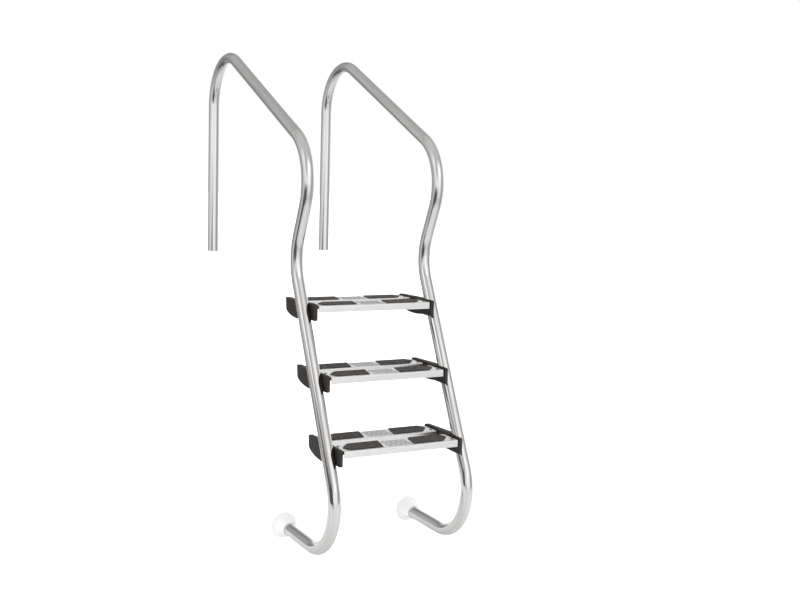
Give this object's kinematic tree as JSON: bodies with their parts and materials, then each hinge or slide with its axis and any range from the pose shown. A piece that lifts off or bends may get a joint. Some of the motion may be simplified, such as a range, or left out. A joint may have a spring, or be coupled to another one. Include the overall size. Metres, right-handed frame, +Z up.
{
  "type": "pool ladder",
  "caption": "Stainless swimming pool ladder: one-piece bent handrails carry split-plank treads with rubber pads, moulded end caps and flared wall bumpers.",
  "frame": {"origin": "midway between the lower ends of the two deck legs", "axes": "+X across the ladder to its right-hand rail, +Y back over the deck, -Y out over the pool, +Z up"},
  "size_m": [0.594, 1.2757, 1.7562],
  "materials": {
    "rail_steel": "mirror-polished stainless steel tube",
    "plank_steel": "satin pressed stainless sheet",
    "fastener_steel": "plain machined stainless steel",
    "cap_plastic": "black moulded plastic, fine grain",
    "pad_rubber": "black textured non-slip rubber",
    "bumper_white": "white moulded plastic"
  },
  "bodies": {
    "root": {"left_rail": "rail_steel", "right_rail": "rail_steel", "left_wall_bumper": "bumper_white", "right_wall_bumper": "bumper_white", "top_tread_front_plank": "plank_steel", "top_tread_front_left_pad": "pad_rubber", "top_tread_front_left_screw": "fastener_steel", "top_tread_front_right_pad": "pad_rubber", "top_tread_front_right_screw": "fastener_steel", "top_tread_back_plank": "plank_steel", "top_tread_back_left_pad": "pad_rubber", "top_tread_back_left_screw": "fastener_steel", "top_tread_back_right_pad": "pad_rubber", "top_tread_back_right_screw": "fastener_steel", "top_tread_left_cap": "cap_plastic", "top_tread_left_insert": "fastener_steel", "top_tread_left_washer": "fastener_steel", "top_tread_left_bolt": "fastener_steel", "top_tread_right_cap": "cap_plastic", "top_tread_right_insert": "fastener_steel", "top_tread_right_washer": "fastener_steel", "top_tread_right_bolt": "fastener_steel", "middle_tread_front_plank": "plank_steel", "middle_tread_front_left_pad": "pad_rubber", "middle_tread_front_left_screw": "fastener_steel", "middle_tread_front_right_pad": "pad_rubber", "middle_tread_front_right_screw": "fastener_steel", "middle_tread_back_plank": "plank_steel", "middle_tread_back_left_pad": "pad_rubber", "middle_tread_back_left_screw": "fastener_steel", "middle_tread_back_right_pad": "pad_rubber", "middle_tread_back_right_screw": "fastener_steel", "middle_tread_left_cap": "cap_plastic", "middle_tread_left_insert": "fastener_steel", "middle_tread_left_washer": "fastener_steel", "middle_tread_left_bolt": "fastener_steel", "middle_tread_right_cap": "cap_plastic", "middle_tread_right_insert": "fastener_steel", "middle_tread_right_washer": "fastener_steel", "middle_tread_right_bolt": "fastener_steel", "bottom_tread_front_plank": "plank_steel", "bottom_tread_front_left_pad": "pad_rubber", "bottom_tread_front_left_screw": "fastener_steel", "bottom_tread_front_right_pad": "pad_rubber", "bottom_tread_front_right_screw": "fastener_steel", "bottom_tread_back_plank": "plank_steel", "bottom_tread_back_left_pad": "pad_rubber", "bottom_tread_back_left_screw": "fastener_steel", "bottom_tread_back_right_pad": "pad_rubber", "bottom_tread_back_right_screw": "fastener_steel", "bottom_tread_left_cap": "cap_plastic", "bottom_tread_left_insert": "fastener_steel", "bottom_tread_left_washer": "fastener_steel", "bottom_tread_left_bolt": "fastener_steel", "bottom_tread_right_cap": "cap_plastic", "bottom_tread_right_insert": "fastener_steel", "bottom_tread_right_washer": "fastener_steel", "bottom_tread_right_bolt": "fastener_steel"}
  },
  "joints": []
}
